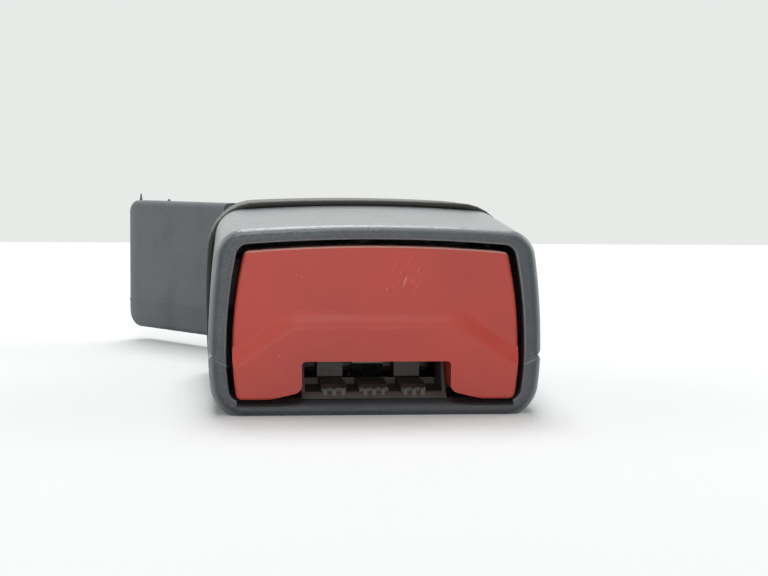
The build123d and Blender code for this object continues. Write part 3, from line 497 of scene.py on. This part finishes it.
def makeBoot():
    count, collar, neck = boot["around"], boot["collarSteps"], boot["neckSteps"]
    deselectAll()
    bpy.ops.mesh.primitive_circle_add(vertices=count, radius=boot["half"] * mm,
                                      fill_type="NOTHING")
    piece = bpy.context.object
    openEdit(piece, "VERT")
    bpy.ops.mesh.select_all(action="SELECT")
    # the collar's stations say their own y, and the neck's follow the bend
    stations = [(0, boot["mouthY"] + (boot["shoulderY"] - boot["mouthY"]) * step / collar)
                for step in range(collar)]
    stations += [(step / neck, None) for step in range(neck + 1)]
    for number, (share, level) in enumerate(stations):
        if number:
            bpy.ops.mesh.extrude_edges_move()
        x0, y0, turn = bootPlace(share)
        y0 = level if level is not None else y0
        # two soft folds where the sleeve narrows
        fold = (boot["crease"] * sin(share * 4 * pi) * (1 - share)
                * (share > boot["creaseFrom"]))
        ring = [(x * (1 - fold / boot["creaseHalf"]), z) for x, z in bootRing(share, count)]
        work = bmesh.from_edit_mesh(piece.data)
        work.verts.ensure_lookup_table()
        newest = [vert for vert in work.verts if vert.select]
        for vert, (x, z) in zip(newest, ring):
            vert.co = Vector((x0 + x * cos(turn), y0 + x * sin(turn), z)) * mm
        bmesh.update_edit_mesh(piece.data)
    closeEdit()
    faceOutwards(piece)
    addModifier(piece, "SOLIDIFY", thickness=boot["wall"] * mm, offset=-1)
    # rounded lip at the mouth and at the strap, on edges that turn sharply
    openEdit(piece, "EDGE")
    mouth, strap, sharp = (boot["mouthY"] + 0.2) * mm, boot["strapY"] * mm, radians(60)
    pick("edges", lambda edge: len(edge.link_faces) == 2
         and edge.calc_face_angle() > sharp
         and all(vert.co.y < mouth or vert.co.y > strap for vert in edge.verts))
    bpy.ops.mesh.bevel(offset=boot["lip"] * mm, segments=3, affect="EDGES")
    closeEdit()
    smoothShade(piece, 50)
    settle(piece, "softBoot")
    piece.data.materials.append(bootVinyl)
    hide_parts("boot")
    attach(piece, "head")
    return piece


softBoot = makeBoot()
print("boot made:", len(softBoot.data.polygons), "faces")

# dipped sheath on the stalk's tail, in millimetres along the tail from the bend's corner
sheath = dict(start=41.5, end=82.5, steelEnd=81.0, low=3.5, top=35.8, half=2.85, turn=36.5,
              bendY=36.0, upperCorner=3.0, lowerCorner=4.2, edge=1.45, mouthWall=1.4,
              strapPlay=0.1, dipLine=10.4, dipHeight=0.12, dipSpread=0.5, dipFrom=12,
              dipTip=1.6, dipSkin=0.6,
              drip=dict(at=80.7, height=1.7, radius=0.45),
              stub=dict(at=68.2, height=0.5, radius=0.7), sunk=0.4, taper=0.3, tipRound=0.2)


def makeSheath():
    deselectAll()
    length, height = sheath["end"] - sheath["start"], sheath["top"] - sheath["low"]
    close = 0.1 * mm  # how near a vertex lies when it counts as being on a face
    bpy.ops.mesh.primitive_cube_add(size=1)
    piece = bpy.context.object
    # built along x with its start at x = 0, then turned into place
    openEdit(piece, "VERT")
    bpy.ops.mesh.select_all(action="SELECT")
    shapeVerts(lambda co: Vector(((co.x + 0.5) * length, co.y * 2 * sheath["half"],
                                  sheath["low"] + (co.z + 0.5) * height)) * mm)
    for level, radius in ((sheath["top"], sheath["upperCorner"]),
                          (sheath["low"], sheath["lowerCorner"])):
        bpy.ops.mesh.select_mode(type="EDGE")
        pick("edges", lambda edge: all(vert.co.x > length * mm - close
                                       and abs(vert.co.z - level * mm) < close
                                       for vert in edge.verts)
             and abs(edge.verts[0].co.y - edge.verts[1].co.y) > mm)
        bpy.ops.mesh.bevel(offset=radius * mm, segments=8, affect="EDGES")
    # round the rims of both broad faces, away from the open end
    pick("edges", lambda edge: len({round(vert.co.y / mm, 2) for vert in edge.verts}) == 1
         and any(abs(abs(face.normal.y) - 1) < 0.01 for face in edge.link_faces)
         and any(abs(face.normal.y) < 0.01 for face in edge.link_faces)
         and max(vert.co.x for vert in edge.verts) > close)
    bpy.ops.mesh.bevel(offset=sheath["edge"] * mm, segments=5, affect="EDGES")
    # hollow for the strap
    bpy.ops.mesh.select_mode(type="FACE")
    pick("faces", lambda face: face.normal.x < -0.9)
    bpy.ops.mesh.inset(thickness=sheath["mouthWall"] * mm)
    depth = (sheath["steelEnd"] + sheath["strapPlay"] - sheath["start"]) * mm
    bpy.ops.mesh.extrude_region_move(TRANSFORM_OT_translate=dict(value=(depth, 0, 0)))
    # a low ridge where the skin was dipped twice
    for level in (-sheath["dipSpread"], 0, sheath["dipSpread"]):
        bpy.ops.mesh.select_all(action="SELECT")
        bpy.ops.mesh.bisect(plane_co=(0, 0, (sheath["dipLine"] + level) * mm), plane_no=(0, 0, 1))
    tip, rise = (length - sheath["dipTip"]) * mm, sheath["dipHeight"] * mm
    skin, line = (sheath["half"] - sheath["dipSkin"]) * mm, sheath["dipLine"] * mm
    pick("verts", lambda vert: abs(vert.co.z - line) < close
         and vert.co.x > sheath["dipFrom"] * mm
         and (abs(vert.co.y) > skin or vert.co.x > tip))
    shapeVerts(lambda co: Vector((co.x + (rise if co.x > tip else 0),
                                  co.y + (rise if co.y > 0 else -rise), co.z)))
    closeEdit()
    smoothShade(piece, 40)
    parts = [piece]
    # a drip and a trimmed stub left on the upper edge, which hung lowest in the dip
    for tag in (sheath["drip"], sheath["stub"]):
        deselectAll()
        bpy.ops.mesh.primitive_cone_add(
            vertices=16, radius1=tag["radius"] * mm,
            radius2=tag["radius"] * sheath["taper"] * mm,
            depth=(tag["height"] + sheath["sunk"]) * mm,
            location=((tag["at"] - sheath["start"]) * mm, 0,
                      (sheath["top"] + (tag["height"] - sheath["sunk"]) / 2) * mm))
        nib = bpy.context.object
        openEdit(nib, "EDGE")
        pick("edges", lambda edge: min(vert.co.z for vert in edge.verts) > close)
        bpy.ops.mesh.bevel(offset=tag["radius"] * sheath["tipRound"] * mm, segments=3,
                           affect="EDGES")
        closeEdit()
        smoothShade(nib, 60)
        parts.append(nib)
    deselectAll()
    for part in parts:
        part.select_set(True)
    bpy.context.view_layer.objects.active = piece
    bpy.ops.object.join()
    # into place beside the tail
    turn = radians(sheath["turn"])
    start = Vector((-sin(turn) * sheath["start"], sheath["bendY"] + cos(turn) * sheath["start"], 0))
    piece.location = start * mm
    piece.rotation_euler = (0, 0, turn + pi / 2)
    settle(piece, "dippedSheath")
    piece.data.materials.append(sheathVinyl)
    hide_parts("strap_sheath")
    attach(piece, "head")
    return piece


dippedSheath = makeSheath()
print("sheath made:", len(dippedSheath.data.polygons), "faces")

# round-wire compression springs with closed end turns: outer radius, wire thickness, free turns,
# the seat they stand on, their length at rest, the way they point from the seat, the joint that
# pushes them and the share of their length that is left then
stepsPerTurn = 20
springs = dict(
    button_spring_left=dict(radius=2.8, wire=0.6, turns=9, base=(-20, -2.1, 22), length=24.2,
                            way=(0, -1, 0), joint="button_slide", keep=0.752),
    button_spring_right=dict(radius=2.8, wire=0.6, turns=9, base=(20, -2.1, 22), length=24.2,
                             way=(0, -1, 0), joint="button_slide", keep=0.752),
    ejector_spring_left=dict(radius=2.05, wire=0.5, turns=11, base=(-7.5, 20.9, 7.6), length=19.8,
                             way=(0, -1, 0), joint="ejector_slide", keep=0.394),
    ejector_spring_right=dict(radius=2.05, wire=0.5, turns=11, base=(7.5, 20.9, 7.6), length=19.8,
                              way=(0, -1, 0), joint="ejector_slide", keep=0.394),
    latch_spring=dict(radius=3.0, wire=0.6, turns=5, base=(0, -0.4, 23.9), length=10.9,
                      way=(0, 0, -1), joint="latch_pivot", keep=0.68),
)


def makeSpring(name):
    spring = springs[name]
    wire = spring["wire"]
    steps = (spring["turns"] + 2) * stepsPerTurn
    rise = (spring["length"] - wire - 2 * wire) / spring["turns"]
    height, points = wire / 2, []
    for step in range(steps + 1):
        turn = step / stepsPerTurn
        angle = 2 * pi * turn
        points.append((cos(angle) * (spring["radius"] - wire / 2),
                       sin(angle) * (spring["radius"] - wire / 2), height))
        # the first and last turns lie flat against their neighbours
        closed = turn < 1 or turn >= spring["turns"] + 1
        height += (wire if closed else rise) / stepsPerTurn
    line = bpy.data.curves.new(name + "Wire", "CURVE")
    line.dimensions = "3D"
    line.bevel_depth = wire / 2 * mm
    line.bevel_resolution = 2
    line.use_fill_caps = True
    path = line.splines.new("POLY")
    path.points.add(len(points) - 1)
    for point, place in zip(path.points, points):
        point.co = (*[value * mm for value in place], 1)
    piece = bpy.data.objects.new(name + "Coil", line)
    bpy.context.collection.objects.link(piece)
    selectOnly(piece)
    bpy.ops.object.convert(target="MESH")
    piece = bpy.context.object
    piece.location = Vector(spring["base"]) * mm
    piece.rotation_euler = Vector((0, 0, 1)).rotation_difference(Vector(spring["way"])).to_euler()
    settle(piece, name + "Coil")
    faceOutwards(piece)
    smoothShade(piece, 60)
    piece.data.materials.append(springSteel)
    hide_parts(name)
    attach(piece, "head")
    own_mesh(piece)


for name in springs:
    makeSpring(name)
print("springs wound:", len(springs))

# table top, backdrop and light, in millimetres and watts: each lamp's place, size and power
studio = dict(tableHalf=1200, tableBack=640, tableShade="#D2D4D4", glow=0.04, backdrop="#E8EAE8",
              skyLevel=0.16, aimHeight=20,
              lamps=dict(topSoftbox=(0, 80, 1400, 460, 5.6),
                         rearTopSoftbox=(0, 660, 1240, 660, 12.4),
                         farSoftbox=(0, 2500, 1040, 2200, 10.0),
                         leftSoftbox=(-1240, 500, 560, 1080, 6.0),
                         rightSoftbox=(1240, 500, 560, 1080, 7.6),
                         highFrontSoftbox=(-120, -960, 1280, 520, 6.4),
                         lowFrontSoftbox=(-120, -1800, 260, 800, 5.6)))


def laySurface():
    deselectAll()
    half, back = studio["tableHalf"] * mm, studio["tableBack"] * mm
    bpy.ops.mesh.primitive_plane_add(size=1, location=(0, (back - half) / 2, 0))
    table = bpy.context.object
    table.scale = (2 * half, half + back, 1)
    settle(table, "tableTop")
    # matt white laminate that looks a little brighter to the eye than it lights the object
    material, tree, shader = newFinish("whiteTableTop", studio["tableShade"], Roughness=0.9)[:3]
    path = addNode(tree, "LightPath")
    glow = addNode(tree, "Math", {0: (path, "Is Camera Ray"), 1: studio["glow"]},
                   operation="MULTIPLY")
    shader.inputs["Emission Color"].default_value = (1, 1, 1, 1)
    wireUp(tree, shader, {"Emission Strength": (glow, "Value")})
    table.data.materials.append(material)


def lightScene():  # the room is at full strength only to the eye, in reflections and through glass
    world = bpy.data.worlds.new("paleRoom")
    bpy.context.scene.world = world
    world.use_nodes = True
    tree = world.node_tree
    path = addNode(tree, "LightPath")
    seen = addNode(tree, "Math", {0: (path, "Is Camera Ray"), 1: (path, "Is Glossy Ray")},
                   operation="MAXIMUM")
    seen = addNode(tree, "Math", {0: (seen, "Value"), 1: (path, "Is Transmission Ray")},
                   operation="MAXIMUM")
    level = addNode(tree, "MapRange", {"Value": (seen, "Value"), "To Min": studio["skyLevel"],
                                       "To Max": 1.0})
    background = tree.nodes["Background"]
    background.inputs["Color"].default_value = linearColour(studio["backdrop"])
    wireUp(tree, background, {"Strength": (level, "Result")})
    for name, (x, y, z, size, power) in studio["lamps"].items():
        bpy.ops.object.light_add(type="AREA", location=(x * mm, y * mm, z * mm))
        lamp = bpy.context.object
        lamp.name = name
        lamp.data.size = size * mm
        lamp.data.energy = power
        aim = Vector((0, 0, studio["aimHeight"] * mm)) - lamp.location
        lamp.rotation_euler = aim.to_track_quat("-Z", "Y").to_euler()


laySurface()
lightScene()
bpy.context.scene.view_settings.view_transform = "Standard"
print("table and lights ready")
